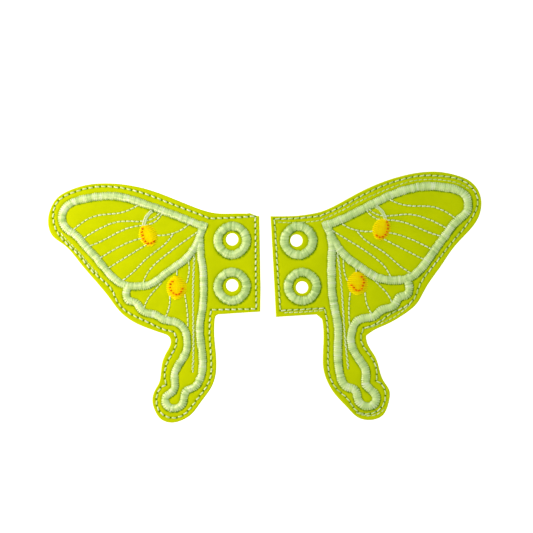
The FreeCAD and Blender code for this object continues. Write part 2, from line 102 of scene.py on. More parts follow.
# how the front vinyl is pulled in: depth and reach of a row's groove and of its needle holes, then how dark
# and how far the painted shade in the groove and in the holes is
ROW_DENTS = {
    "edge": ((0.16, 0.7), (0.3, 0.42), (0.22, 0.42), (0.8, 0.42)),
    "tack": ((0.14, 0.55), (0.16, 0.3), (0.1, 0.4), (0.4, 0.32)),
    "vein": ((0.08, 0.6), (0.14, 0.3), (0.2, 0.45), (0.5, 0.34)),
}
RIM_DENT = (0.16, 0.22)
BORDER_SHADE = 0.4      # how far the pucker and its painted shade reach beside the satin
RING_SHADE = 0.55
LOWER_SIDE = np.array([0.42, -0.9])     # the side of the satin where the pucker is deepest and its painted shade darkest
PILLOW = 0.12           # how far the plain vinyl swells between its stitches

# the studio, in metres
FLOOR_LEVEL = -0.07     # clear of the wings when they are folded back
FLOOR_RINGS = [(0.6, 0.0), (2.0, 0.0), (2.6, 0.06), (2.9, 0.3), (3.0, 1.0)]     # radius and height
FLOOR_SIDES = 64
VIEW_CENTRE = (0.00078, 0.01318)
VIEW_WIDTH = 0.2292
VIEW_DISTANCE = 0.6
SENSOR_WIDTH = 36.0

# ---------------------------------------------------------------- drawn curves, (u, v) in mm

VINYL_EDGE = {
    "left": [
        [(-6.4, 21.4), (0, 21.4), (5, 21.4), (9, 21.9), (15, 23.7), (25, 27.7), (35, 31.4), (45, 33.7),
         (55, 34.4), (63.3, 33.6), (70, 31.4), (75, 28.4), (78.3, 23), (79.2, 17.3), (77.2, 11.7),
         (72.7, 8.2), (65.3, 0), (57.3, -9.3), (52.7, -15), (48.4, -20.6), (41.3, -25.8), (35, -28.4),
         (30, -30.1), (27.2, -31.5), (26.4, -33.2), (27.9, -37.7), (29.8, -41.8), (30.7, -47.4),
         (31.4, -51.3), (33.4, -55), (34.3, -59.3), (33.1, -63.6), (30.8, -66.9), (27, -68.5), (22, -67.7),
         (17.6, -65), (13.2, -59.4), (8.6, -52.7), (6.9, -46), (7.7, -31), (7.6, -25), (7, -22.6),
         (5.2, -21.9)],
        [(5.2, -21.9), (-12.1, -20.8)],
        [(-12.1, -20.8), (-12.25, -10.4)],
        [(-12.25, -10.4), (-11.7, 20.3)],
        [(-11.7, 20.3), (-10, 20.6)],
        [(-10, 20.6), (-7.6, 21.6)],
        [(-7.6, 21.6), (-6.4, 21.4)],
    ],
    "right": [
        [(-11.2, 21.3), (-5, 20.8), (0, 20.6), (5, 20.8), (10, 21.4), (15, 22.9), (25, 27.3), (35, 31.2),
         (45, 33.8), (55, 35), (65, 34.1), (70, 32.5), (75, 30), (78.9, 25), (79.6, 18.7), (77.5, 13),
         (70, 5.2), (65, 0.2), (60, -6.1), (55, -12), (52, -16.2), (48.5, -21.2), (43.1, -25.1), (35, -29),
         (30, -30.8), (25.7, -33.3)],
        [(25.7, -33.3), (26.1, -36.8), (29.1, -43), (30.3, -48.3), (31.6, -53), (33.8, -57.4),
         (33.1, -62.7), (30, -68), (24.5, -69.5), (19.5, -68), (15.2, -63.3), (10.5, -57.4), (7.5, -51.4),
         (6.3, -46), (6.5, -40.6), (7.6, -27.4), (7.4, -24.6)],
        [(7.4, -24.6), (5.2, -22.4)],
        [(5.2, -22.4), (-12.3, -22.1)],
        [(-12.3, -22.1), (-11.7, 0.3)],
        [(-11.7, 0.3), (-11.2, 21.3)],
    ],
}
EDGE_ROW = {
    "left": [
        [(9.7, 19.3), (16.1, 21.8), (26.1, 25.6), (35.5, 29.2), (46.3, 32.2), (58, 32.9), (69.7, 29.9),
         (75.2, 26.3), (77, 20.3), (75, 13.2), (66.3, 4), (59, -4.5), (52, -11), (48.8, -17.4),
         (42.9, -22.2), (35.9, -25.5), (30.6, -28), (25.2, -29.4)],
        [(25.2, -29.4), (23.8, -33.5), (25.6, -38.5), (28.3, -43.8), (29, -48.3), (28.2, -52.2)],
        [(28.2, -52.2), (31.2, -54.2), (32.5, -58.6), (31.4, -63.3), (25.8, -66.5), (20.1, -64.6),
         (16.8, -60.8), (12.5, -55.2), (9.6, -50.2), (8.9, -45), (9.4, -35), (9.6, -25), (9, -20)],
        [(9, -20), (-10.4, -19.6)],
        [(-10.4, -19.6), (-10, 20.3)],
        [(-10, 20.3), (0, 19.6), (9.7, 19.3)],
    ],
    "right": [
        [(9.6, 19.7), (15, 21.3), (26, 25.8), (36.5, 30), (45, 32.3), (55, 33.5), (65, 32.4), (70, 31.1),
         (76.4, 26.4), (78.2, 20), (75.6, 14.5), (65.3, 3.5), (60.5, -1.7), (53.2, -9.5), (50.1, -13.8),
         (48, -18.4), (42.6, -22.4), (37, -24.6), (32, -27.6), (25, -29.8)],
        [(25, -29.8), (23.4, -35), (25.4, -39.8), (28.2, -44.5), (28.5, -52.8)],
        [(28.5, -52.8), (31, -54.8), (32, -59.3), (30, -64.3), (24.5, -66.8), (19.4, -65.4), (15.9, -60),
         (11.2, -54.9), (8.5, -48), (8.5, -43), (9.3, -35), (9.4, -25), (8.8, -20)],
        [(8.8, -20), (-10.2, -19.5)],
        [(-10.2, -19.5), (-9.6, 20)],
        [(-9.6, 20), (0, 19.5), (9.6, 19.7)],
    ],
}
TACK_ROW = {
    "left": [
        [(73.8, 13.1), (68.5, 7.4), (64, 2.6), (60.6, -1.6), (57.6, -4.6)],
    ],
    "right": [
        [(9.8, 17.8), (18, 20.7), (30, 25.6), (40, 29), (47.5, 31), (55, 31.8), (64, 30.9), (70, 29.2),
         (75, 26)],
        [(9.8, 17.8), (4, 17.6), (-8.4, 18.5)],
        [(8.3, -20.9), (-2, -20.8), (-8.8, -20.5)],
        [(46, -20.6), (40, -25.3), (34, -27.9), (29.5, -29.3), (26.2, -29.9)],
        [(31.2, -65.2), (26.6, -67.6), (22, -67.2), (18.8, -65.7)],
    ],
}
FORE_BORDER = {
    "left": [(12.4, 16.2), (15, 17), (20, 18.9), (30, 22.8), (40, 26.4), (48, 28.6), (55, 29), (65, 27.4),
             (70, 25.6), (72.4, 23.1), (73.2, 19.8), (72.4, 16.3), (67.5, 12.3), (63.4, 7.8), (59.2, 3.3),
             (55.7, -1.1), (52, -5.3), (47.2, -9), (40, -9.8), (36, -9.2), (28.2, -4.1), (20, 1.9),
             (15.7, 7.7), (13.4, 13.1), (12.4, 16.2)],
    "right": [(12.6, 15.75), (15, 16.3), (20, 17.8), (25, 19.8), (35, 24), (45, 27.4), (55, 28.9),
             (65, 27.7), (70, 26.1), (73.1, 23.5), (74, 20), (73, 16.5), (68.6, 12.9), (63.7, 7.8),
             (58.4, 1.7), (53.4, -4.4), (50.7, -7), (46.8, -9.6), (40, -10.3), (35, -9.5), (25, -3.1),
             (19.9, 1.4), (16.6, 5.6), (14.3, 10.6), (12.6, 15.75)],
}
HIND_BORDER = {
    "left": [(13.7, 11.5), (13.8, 6.6), (13.4, 2.6), (12.7, -2), (12.4, -6), (12.3, -13), (13.1, -21),
             (14, -28), (13.4, -35), (13, -46.8), (14.2, -50.6), (16.4, -53.3), (19.8, -55), (21.2, -60),
             (24.8, -62.4), (28.2, -61), (28.4, -57.3), (25.8, -55.4), (24.7, -51), (24.9, -48.4),
             (22.5, -42.9), (19.7, -37.6), (19.5, -32), (21.2, -27.5), (24.9, -25), (29.5, -24.2),
             (33, -22.1), (37.2, -21.2), (39.7, -19.1), (41.5, -16.8), (44.3, -16.1), (45.5, -14.2),
             (45.2, -11)],
    "right": [(13.5, 11.8), (14, 9.6), (14.1, 4.9), (13.5, 1), (13, -5), (12.6, -13), (13.1, -20),
             (14, -28), (13.4, -35), (12.8, -44), (13.3, -50), (15.4, -54.3), (19, -55.9), (19.9, -59.3),
             (21.4, -62.5), (24.5, -63.6), (27.4, -62), (27.8, -58.9), (26.2, -56.8), (24.1, -54.4),
             (24.4, -48.5), (23.1, -45), (19.5, -38), (19, -34.5), (20, -30), (21.7, -27.2), (25, -25.6),
             (30, -25), (33, -22.8), (36.4, -22), (39.3, -20.6), (41.5, -17.6), (44.6, -16.9),
             (45.7, -14.8), (45.4, -11.4)],
}
FORE_VEINS = [
    [(40.4, 25.1), (45.3, 22.5), (52.3, 21.2), (59, 20.3), (64.7, 17.3), (68.3, 14.4)],
    [(31, 22), (34.8, 18.9), (40.7, 18), (48, 18), (54.7, 16), (60.7, 12.8), (64, 10.6)],
    [(29.8, 22), (34.3, 17.2), (42.3, 15.8), (49, 13.3), (55.7, 9.8), (61.4, 7.4)],
    [(38.6, 10.9), (45.7, 8.5), (52.3, 5), (57.3, 2)],
    [(36.4, 8.3), (44.7, 3.2), (53.3, -2.1)],
    [(25.4, 12.6), (28.6, 8.5), (36.4, 2.4), (41.7, -3), (47.2, -7.4)],
    [(14.3, 13.9), (22.9, 7.8), (31.4, 1.2), (37.1, -5.4), (38.2, -8.6)],
    [(32.4, 12), (26.4, 12.6), (21.6, 14.5), (17.8, 17.6)],
]
LOOP_VEIN = [(37.9, 16), (36.6, 20.3), (34.2, 22.5)]      # sewn three times over
HIND_VEINS = [
    [(30.2, -8.2), (33.8, -12.2), (36.6, -16), (38, -19.6)],
    [(26.8, -13.8), (27.7, -21), (28.9, -23.4)],
    [(20.4, -13.2), (19.3, -20.3), (19, -27.4)],
    [(18.7, 1), (18.4, -3), (19.6, -8.6)],
    [(23.8, -2.6), (23.6, -5.4)],
]
TAIL_VEIN = [(16.2, 3.4), (16.8, -14), (16.6, -35.3), (17, -46.6)]

# centre, half length, half width and lean in degrees of each eyespot, and its crescent of accent stitches
SPOTS = {
    "fore": ((36, 12.0), 4.85, 3.9, 24.0, [(38.4, 14.8), (38.3, 11), (36.4, 8.6), (33.6, 9.4)]),
    "hind": ((23.85, -10.5), 5.0, 4.4, 4.0, [(25.8, -7.8), (26.5, -10.8), (24.2, -13.5), (21.2, -11)]),
}
LACE_HOLES = {
    "left": [(0, 10.3), (0, -9.5)],
    "right": [(-0.9, 10), (-0.1, -10.3)],
}

# ---------------------------------------------------------------- places and curves

def to_row(side, points):
    """Points (u, v, z) of a wing's drawing, in mm, as points of the row frame in metres."""
    points = np.asarray(points, float)
    base_x, base_y, turn = WING_PLACE[side]
    angle = math.radians(turn)
    x = SIDES[side] * points[:, 0]
    y = points[:, 1]
    turned_x = base_x + x * math.cos(angle) - y * math.sin(angle)
    turned_y = base_y + x * math.sin(angle) + y * math.cos(angle)
    return np.column_stack([turned_x, turned_y, points[:, 2]]) * MM


def spline(points):
    """A dense line through the points: straight for two, and otherwise a cubic with no jump in its bend."""
    points = np.asarray(points, float)
    if len(points) == 2:
        return points
    steps = np.diff(points, axis=0)
    gaps = np.linalg.norm(steps, axis=1)
    count = len(points)
    system = np.zeros((count, count))
    system[0, :2] = (1, -1)
    system[-1, -2:] = (-1, 1)
    for i in range(1, count - 1):
        before, after = gaps[i - 1:i + 1]
        system[i, i - 1:i + 2] = (before, 2 * (before + after), after)
    target = np.zeros((count, 2))
    target[1:-1] = 6 * np.diff(steps / gaps[:, None], axis=0)
    bend = np.linalg.solve(system, target)
    line = []
    for i, gap in enumerate(gaps):
        share = np.linspace(0, 1, 24, endpoint=False)[:, None]
        rest = 1 - share
        line.append(
            rest * points[i] + share * points[i + 1]
            + gap * gap / 6 * ((rest ** 3 - rest) * bend[i] + (share ** 3 - share) * bend[i + 1])
        )
    return np.vstack(line + [points[-1:]])


def along(line, step):
    """Places every step along a line: (points, directions, distances)."""
    run = distances(line)
    count = max(2, round(run[-1] / step) + 1)
    places = np.linspace(0, run[-1], count)
    points = at(line, run, places)
    reach = min(0.3, run[-1] / 4)
    ahead = at(line, run, np.minimum(places + reach, run[-1]))
    behind = at(line, run, np.maximum(places - reach, 0))
    directions = ahead - behind
    directions /= np.linalg.norm(directions, axis=1)[:, None]
    return points, directions, places


def distances(line):
    """How far each point of a line lies along it."""
    return np.concatenate([[0], np.cumsum(np.linalg.norm(np.diff(line, axis=0), axis=1))])


def at(line, run, places):
    """The points of a line at places along it. run holds the line's own distances."""
    return np.column_stack([np.interp(places, run, line[:, axis]) for axis in (0, 1)])


def across(directions):
    """The left-hand normals of directions."""
    return np.column_stack([-directions[:, 1], directions[:, 0]])


def nearest(points, targets):
    """For each point, the distance to the nearest target and which one it is."""
    tree = KDTree(len(targets))
    for index, target in enumerate(targets):
        tree.insert((target[0], target[1], 0), index)
    tree.balance()
    found = [tree.find((x, y, 0)) for x, y in points]
    return np.array([distance for _, _, distance in found]), np.array([index for _, index, _ in found])


def gap(points, targets):
    """For each point, the distance to the nearest target."""
    return nearest(points, targets)[0]


def dropped(side, stretches):
    """Vein rows as they lie on one wing."""
    return [[(u, v - VEIN_DROP[side]) for u, v in stretch] for stretch in stretches]


def circle(centre, radius, number):
    turns = 2 * math.pi * np.arange(number) / number
    return np.array(centre) + radius * np.column_stack([np.cos(turns), np.sin(turns)])


def circles(radii, number):
    """Rings of points round both eyelets."""
    return [circle((0, v), radius, number) for v in EYELET_LEVELS for radius in radii]

# ---------------------------------------------------------------- thread

class Threads:
    """Collects lengths of thread into one mesh. lay holds the distance along, the way round and a seed."""

    def __init__(self, side, name):
        self.side = side
        self.name = name
        self.rng = random.Random(f"{side}_{name}")
        self.parts = []
        self.faces = []
        self.count = 0

    def add(self, points, lay, tone, tint, faces):
        tones = np.broadcast_to(tone, len(points))
        tints = np.broadcast_to(tint, len(points))
        self.parts.append((points, lay, tones, tints))
        self.faces.extend(tuple(self.count + i for i in face) for face in faces)
        self.count += len(points)

    def tube(self, line, sideways, half_width, half_height, tone, tint=0.0, sides=6):
        """One thread along a line. sideways is level and square to the thread's plan direction."""
        number = len(line)
        way = np.gradient(line, axis=0)
        way /= np.linalg.norm(way, axis=1)[:, None]
        upward = np.cross(way, sideways)
        turns = 2 * math.pi * np.arange(sides) / sides
        ends = np.ones(number)
        ends[0] = ends[-1] = 0.55
        wide = (half_width * ends)[:, None, None] * np.cos(turns)[None, :, None]
        high = (half_height * ends)[:, None, None] * np.sin(turns)[None, :, None]
        sideways = np.broadcast_to(sideways, line.shape)
        ring = line[:, None, :] + wide * sideways[:, None, :] + high * upward[:, None, :]
        lay = np.empty((number, sides, 3))
        lay[:, :, 0] = distances(line)[:, None]
        lay[:, :, 1] = turns[None, :]
        lay[:, :, 2] = self.rng.random() * 50
        faces = []
        for i in range(number - 1):
            for j in range(sides):
                k = (j + 1) % sides
                faces.append((i * sides + j, i * sides + k, (i + 1) * sides + k, (i + 1) * sides + j))
        faces.append(tuple(range(sides - 1, -1, -1)))
        faces.append(tuple((number - 1) * sides + j for j in range(sides)))
        if np.ndim(tint):
            tint = np.repeat(tint, sides)
        self.add(ring.reshape(-1, 3), lay.reshape(-1, 3), tone, tint, faces)

    def strand(self, start, end, shares, level, half_width, half_height, tone, tint=0.0):
        """A thread from start to end. shares run from -1 to 1, and level is the height at each."""
        half = (end - start) / 2
        line = np.column_stack([(start + end) / 2 + shares[:, None] * half, level])
        sideways = np.array([-half[1], half[0], 0]) / np.linalg.norm(half)
        self.tube(line, sideways, half_width, half_height, tone, tint)

    def plies(self, line, sideways, turn, swing, thickness, tone):
        """Two-ply thread along a line. turn is its twist at each point, and swing its plies' reach."""
        sideways = np.broadcast_to(sideways, line.shape)
        for half_turn in (0, math.pi):
            ply = line + np.cos(turn + half_turn)[:, None] * sideways * swing[0]
            ply[:, 2] += np.sin(turn + half_turn) * swing[1]
            self.tube(ply, sideways, thickness[0], thickness[1], tone, sides=5)

    def mesh(self):
        points, lay, tones, tints = (np.concatenate(column) for column in zip(*self.parts))
        return build(self.side, self.name, points, self.faces, lay=lay, tone=tones, tint=tints)


def build(side, name, points, faces, **attributes):
    """A mesh in the row frame from points of a wing's drawing, with each set of values as an attribute."""
    if SIDES[side] < 0:
        faces = [tuple(face)[::-1] for face in faces]
    mesh = bpy.data.meshes.new(f"{side}_{name}")
    mesh.from_pydata(to_row(side, points).tolist(), [], faces)
    mesh.shade_smooth()
    for key, values in attributes.items():
        kind, field = ("FLOAT_VECTOR", "vector") if np.ndim(values) == 2 else ("FLOAT", "value")
        attribute = mesh.attributes.new(key, kind, "POINT")
        attribute.data.foreach_set(field, np.asarray(values, np.float32).ravel())
    return mesh


def show(mesh, material):
    """A piece in the scene, in one material."""
    piece = bpy.data.objects.new(mesh.name, mesh)
    bpy.context.scene.collection.objects.link(piece)
    mesh.materials.append(material)
    return piece

# ---------------------------------------------------------------- satin stitch

def dome(share):
    """The height of a satin stitch over its width, from 0 at either end to 1 in the middle."""
    return np.maximum(0, 1 - np.abs(share) ** 2.3) ** 0.62


def satin_strand(threads, start, end, height, tone, tint=0.0):
    """One thread of satin stitch over the padding, from hole to hole."""
    rise = dome(SHARES) * (height + SINK) - SINK - STRAND_HALF_HEIGHT
    threads.strand(start, end, SHARES, FACE + rise, STRAND_HALF_WIDTH, STRAND_HALF_HEIGHT, tone, tint)


def padding(threads, points, normals, left, right, height):
    """The dense layer of thread under the satin, seen only between its strands, and given the painted shade
    colour of its thread.
    """
    rows = len(points)
    shares = SHARES * 0.97
    centre = (left - right) / 2
    half = (left + right) / 2
    reach = centre[:, None] + shares[None, :] * half[:, None]
    plan = points[:, None, :] + normals[:, None, :] * reach[:, :, None]
    rise = dome(SHARES)[None, :] * (height[:, None] + SINK) - SINK - 2.2 * STRAND_HALF_HEIGHT
    solid = np.concatenate([plan, FACE + rise[:, :, None]], axis=2)
    columns = len(shares)
    lay = np.zeros((rows, columns, 3))
    lay[:, :, 0] = reach
    lay[:, :, 1] = (np.arange(rows) * 2.0)[:, None]
    faces = []
    for i in range(rows - 1):
        for j in range(columns - 1):
            a = i * columns + j
            faces.append((a, a + columns, a + columns + 1, a + 1))
    # tone 0 gives the padding the thread's shade colour, as painted shade between the strands
    threads.add(solid.reshape(-1, 3), lay.reshape(-1, 3), 0.0, 0.0, faces)


def side_reach(line, half, hand):
    """How far a strand may go to one side of each place before it would cross the middle of a tight bend."""
    _, directions, places = line
    turning = np.gradient(np.unwrap(np.arctan2(directions[:, 1], directions[:, 0])), places)
    turning = np.convolve(turning, np.ones(5) / 5, mode="same") * hand
    room = np.where(turning > 1e-6, 0.92 / np.maximum(turning, 1e-6), half)
    return np.minimum(half, np.maximum(room, 0.35))


def ragged(rng, count, reach=0.2, group=3):
    """How far each strand overshoots: a few neighbours wander together, and each a little by itself."""
    knots = [rng.uniform(-reach, reach) for _ in range(count // group + 2)]
    drift = np.interp(np.arange(count) / group, np.arange(len(knots)), knots)
    return drift + [rng.uniform(-reach, reach) * 0.4 for _ in range(count)]


def satin_band(threads, side, drawn, last_reach, drop, end_drop=0.0, under=None):
    """Satin stitch along a line, lowered by drop, and by end_drop more at its end, up to a band over it."""
    half = SATIN_HALF[side]
    line = along(extended(spline(drawn), half * 0.95, last_reach), STRAND_PITCH)
    points, directions, places = line
    normals = across(directions)
    left = side_reach(line, half, 1)
    right = side_reach(line, half, -1)
    heights = SATIN_HEIGHT - drop - end_drop * np.clip((places - places[-1] + 4.5) / 2.0, 0, 1)
    sewn = np.ones(len(points), bool) if under is None else gap(points, under) > BAND_OVERLAP
    rng = threads.rng
    left_wander = ragged(rng, len(points))
    right_wander = ragged(rng, len(points))
    tones = 0.66 + ragged(rng, len(points), 0.26, 2)
    half_step = directions * (STRAND_PITCH / 4)
    for i in np.flatnonzero(sewn):
        slant = half_step[i] if i % 2 else -half_step[i]
        short = 0.72 if i % 2 else 1.0
        to_left = left[i] * (short if left[i] < half * 0.9 else 1) + left_wander[i]
        to_right = right[i] * (short if right[i] < half * 0.9 else 1) + right_wander[i]
        start = points[i] - normals[i] * to_right - slant
        end = points[i] + normals[i] * to_left + slant
        satin_strand(threads, start, end, heights[i] + rng.uniform(-0.05, 0.03), tones[i])
    for first, last in runs(sewn):
        part = slice(first, last + 1, 2)
        padding(threads, points[part], normals[part], left[part], right[part], heights[part])
    return points[END_CAP:-END_CAP]


def extended(line, first_reach, last_reach):
    """A line that runs on straight at both ends."""
    first = line[0] - line[1]
    last = line[-1] - line[-2]
    head = line[0] + first / np.linalg.norm(first) * first_reach
    tail = line[-1] + last / np.linalg.norm(last) * last_reach
    return np.vstack([head, line, tail])


def runs(flags):
    """The first and last index of each run of true flags that is long enough to pad."""
    edges = np.flatnonzero(np.diff(np.concatenate([[0], flags.astype(int), [0]])))
    return [(first, last - 1) for first, last in zip(edges[::2], edges[1::2]) if last - first > 3]


def eyelet_ring(side, name, v):
    """Satin stitch round a lace hole, slightly squared by the pull of the thread."""
    threads = Threads(side, name)
    rng = threads.rng
    count = round(2 * math.pi * EYELET_OUTER / RING_PITCH)
    turns = 2 * math.pi * np.arange(count) / count
    squared = 1 + 0.018 * np.cos(4 * turns + 0.2)
    rays = np.column_stack([np.cos(turns), np.sin(turns)])
    centre = np.array([0, v])
    step = math.pi / count
    tones = 0.5 + ragged(rng, count, 0.26, 2)
    for i, turn in enumerate(turns):
        near = turn - step / 2 if i % 2 else turn + step / 2
        inner = EYELET_INNER + rng.uniform(-0.22, 0.3)
        outer = EYELET_OUTER * squared[i] + rng.uniform(-0.3, 0.08)
        start = centre + inner * np.array([math.cos(near), math.sin(near)])
        end = centre + outer * rays[i]
        satin_strand(threads, start, end, SATIN_HEIGHT + rng.uniform(-0.05, 0.02), tones[i])
    loop = np.append(np.arange(count), 0)
    ring = centre + rays[loop] * (EYELET_INNER + EYELET_OUTER) / 2
    reach = np.full(len(loop), (EYELET_OUTER - EYELET_INNER) / 2)
    padding(threads, ring, -rays[loop], reach, reach, np.full(len(loop), SATIN_HEIGHT))
    return threads.mesh()


def back_eyelets(side):
    """The bobbin thread of both eyelets, flush in the back vinyl."""
    threads = Threads(side, "back_eyelet_rings")
    rng = threads.rng
    level = np.array([0.34, 0.2, 0.12, 0.11, 0.12, 0.2, 0.34])
    for v in EYELET_LEVELS:
        for i in range(BACK_EYELET_STRANDS):
            turn = 2 * math.pi * i / BACK_EYELET_STRANDS
            ray = np.array([math.cos(turn), math.sin(turn)])
            start = np.array([0, v]) + ray * (BACK_EYELET_INNER + rng.uniform(-0.15, 0.2))
            end = np.array([0, v]) + ray * (BACK_EYELET_OUTER + rng.uniform(-0.25, 0.1))
            shares = np.linspace(-1, 1, len(level))
            threads.strand(start, end, shares, level, 0.23, 0.1, rng.uniform(0.4, 1))
    return threads.mesh()

# ---------------------------------------------------------------- running stitch

def stitch(threads, start, end, rise, level=FACE, thickness=0.19, down=1, tone=0.8):
    """One running stitch of two-ply thread, from needle hole to needle hole."""
    length = np.linalg.norm(end - start)
    sideways = np.array([-(end - start)[1], (end - start)[0], 0]) / length
    number = max(8, round(length / 0.19))
    share = np.linspace(0, 1, number)
    plan = start + share[:, None] * (end - start)
    sunk = np.abs(2 * share - 1) ** 4
    height = level + down * (rise - thickness - (rise + SINK) * sunk)
    tone = threads.rng.uniform(tone, 1)
    phase = threads.rng.random() * math.pi
    turn = 2 * math.pi * share * length / PLY_LAY + phase
    line = np.column_stack([plan, height])
    swing = (thickness * 0.72, thickness * 0.55)
    threads.plies(line, sideways, turn, swing, (thickness, thickness * 0.9), tone)


def laid_thread(threads, drawn, offset):
    """One long thread beside others, along a curve."""
    points, directions, places = along(spline(drawn), 0.35)
    normals = across(directions)
    plan = points + normals * (offset + 0.06 * np.sin(places * 2.1 + offset * 9))[:, None]
    height = FACE + 0.24 + 0.05 * np.sin(places * 1.7 + offset * 5)
    sideways = np.column_stack([normals, np.zeros(len(points))])
    line = np.column_stack([plan, height])
    turn = 2 * math.pi * places / 1.3
    threads.plies(line, sideways, turn, (0.11, 0.09), (0.17, 0.15), threads.rng.uniform(0.7, 1))


def row_stitches(drawn, pitch, fill, slant):
    """Where each stitch of a row starts and ends, and the needle holes between them."""
    line = spline(drawn)
    run = distances(line)
    count = max(1, round(run[-1] / pitch))
    step = run[-1] / count
    inset = step * (1 - fill) / 2
    starts = at(line, run, np.arange(count) * step + inset)
    ends = at(line, run, (np.arange(count) + 1) * step - inset)
    ways = ends - starts
    ways /= np.linalg.norm(ways, axis=1)[:, None]
    lean = across(ways) * slant
    holes = at(line, run, np.arange(count + 1) * step)
    return starts - lean, ends + lean, holes


def sew_row(threads, route, pitch, fill, slant, rise, keep=None, thickness=0.19, tone=0.8):
    """Running stitches along each stretch of a route, only where keep(points) says so."""
    for drawn in route:
        starts, ends, _ = row_stitches(drawn, pitch, fill, slant)
        sewn = np.ones(len(starts), bool) if keep is None else keep((starts + ends) / 2)
        for start, end, shown in zip(starts, ends, sewn):
            off = np.array([threads.rng.uniform(-0.05, 0.05) for _ in range(2)])
            if shown:
                stitch(threads, start + off, end + off, rise, thickness=thickness, tone=tone)

# ---------------------------------------------------------------- eyespots

def spot_axes(lean):
    """The directions along and across an eyespot."""
    angle = math.radians(lean)
    longways = np.array([math.sin(angle), math.cos(angle)])
    return longways, np.array([longways[1], -longways[0]])


def spot_height(place):
    """An eyespot's height at a place from -1 to 1 along it."""
    return SATIN_HEIGHT * (SPOT_END + (1 - SPOT_END) * np.sqrt(1 - place * place))


def inside_spots(points):
    """Which points lie under an eyespot."""
    under = np.zeros(len(points), bool)
    for centre, half_long, half_wide, lean, _ in SPOTS.values():
        longways, wideways = spot_axes(lean)
        off = points - np.array(centre)
        under |= ((off @ longways) / half_long) ** 2 + ((off @ wideways) / half_wide) ** 2 < 0.8
    return under


def eyespot(side, name):
    """A low dome of yellow satin stitch, sewn across its short way."""
    centre, half_long, half_wide, lean, crescent = SPOTS[name]
    longways, wideways = spot_axes(lean)
    threads = Threads(side, f"{name}wing_eyespot_satin")
    rng = threads.rng
    accent = along(spline(crescent), 0.15)[0]
    number = round(2 * half_long / SPOT_PITCH)
    for i in range(number):
        place = (i + 0.5) / number * 2 - 1
        half = half_wide * SPOT_REACH * math.sqrt(1 - place * place) + rng.uniform(-0.12, 0.16)
        middle = np.array(centre) + longways * place * half_long
        slant = longways * (0.1 if i % 2 else -0.1)
        start = middle - wideways * half - slant
        end = middle + wideways * half + slant
        plan = (start + end) / 2 + SHARES[:, None] * (end - start) / 2
        tint = np.clip(0.85 - gap(plan, accent) / 1.3, 0, 0.5)
        height = spot_height(place) + rng.uniform(-0.04, 0.02)
        satin_strand(threads, start, end, height, rng.uniform(0.5, 1), tint)
    rows = np.linspace(-0.97, 0.97, 17)
    reach = half_wide * np.sqrt(1 - rows ** 2) * 0.95
    points = np.array(centre) + rows[:, None] * longways * half_long
    padding(threads, points, np.tile(-wideways, (len(rows), 1)), reach, reach, spot_height(rows))
    return threads.mesh()


def spot_level(name, point):
    """The top of an eyespot's dome at a point, above the vinyl's face."""
    centre, half_long, half_wide, lean, _ = SPOTS[name]
    longways, wideways = spot_axes(lean)
    off = np.asarray(point) - np.array(centre)
    place = min(0.98, abs(off @ longways) / half_long)
    share = min(0.98, abs(off @ wideways) / (half_wide * math.sqrt(1 - place * place)))
    return float(dome(share)) * (spot_height(place) + SINK) - SINK


def accents(side, name):
    """Short orange-red stitches in a crescent on the outer side of an eyespot."""
    *_, lean, crescent = SPOTS[name]
    wideways = spot_axes(lean)[1]
    threads = Threads(side, f"{name}wing_accent_stitches")
    rng = threads.rng
    share = np.linspace(-1, 1, 7)
    points, directions, _ = along(spline(crescent), ACCENT_PITCH)
    for point, way in zip(points, directions):
        lie = wideways if abs(way @ wideways) < 0.8 else way
        reach = rng.uniform(0.4, 0.65)
        middle = point + across(way[None, :])[0] * rng.uniform(-0.16, 0.16)
        plan = middle + share[:, None] * lie * reach
        top = np.array([spot_level(name, p) for p in plan])
        level = FACE + top + 0.08 - 0.26 * share ** 4
        threads.strand(plan[0], plan[-1], share, level, 0.33, 0.14, rng.uniform(0.2, 1))
    return threads.mesh()

# ---------------------------------------------------------------- vinyl sheets

def outline(side):
    """The cut edge as a closed loop of places about 0.4 mm apart, with its corners kept."""
    return np.vstack([along(spline(stretch), 0.4)[0][:-1] for stretch in VINYL_EDGE[side]])


def sheet_loops(side):
    """The loops that bound a sheet: its outline, clockwise, and its two lace holes, the other way round."""
    return [outline(side)] + [circle(hole, LACE_HOLE, HOLE_SIDES) for hole in LACE_HOLES[side]]


def hexagons(low, high, pitch):
    """A triangular grid of points over a box."""
    rows = int((high[1] - low[1]) / (pitch * 0.866)) + 1
    grid = []
    for i in range(rows):
        start = low[0] + (pitch / 2 if i % 2 else 0)
        u = np.arange(start, high[0], pitch)
        grid.append(np.column_stack([u, np.full(len(u), low[1] + i * pitch * 0.866)]))
    return np.vstack(grid)


def thinned(points, spacing):
    """Points in order, without any that lies nearer than spacing to one already kept."""
    kept = []
    cells = {}
    for u, v in points:
        cell = (int(u // spacing), int(v // spacing))
        close = False
        for i in (-1, 0, 1):
            for j in (-1, 0, 1):
                for x, y in cells.get((cell[0] + i, cell[1] + j), ()):
                    if (x - u) ** 2 + (y - v) ** 2 < spacing * spacing:
                        close = True
        if not close:
            cells.setdefault(cell, []).append((u, v))
            kept.append((u, v))
    return np.array(kept)


def within(points, loop):
    """Which points lie inside a closed loop."""
    inside = np.zeros(len(points), bool)
    x, y = points[:, 0], points[:, 1]
    for (x1, y1), (x2, y2) in zip(loop, np.roll(loop, -1, axis=0)):
        if y1 != y2:
            inside ^= ((y1 > y) != (y2 > y)) & (x < (x2 - x1) * (y - y1) / (y2 - y1) + x1)
    return inside


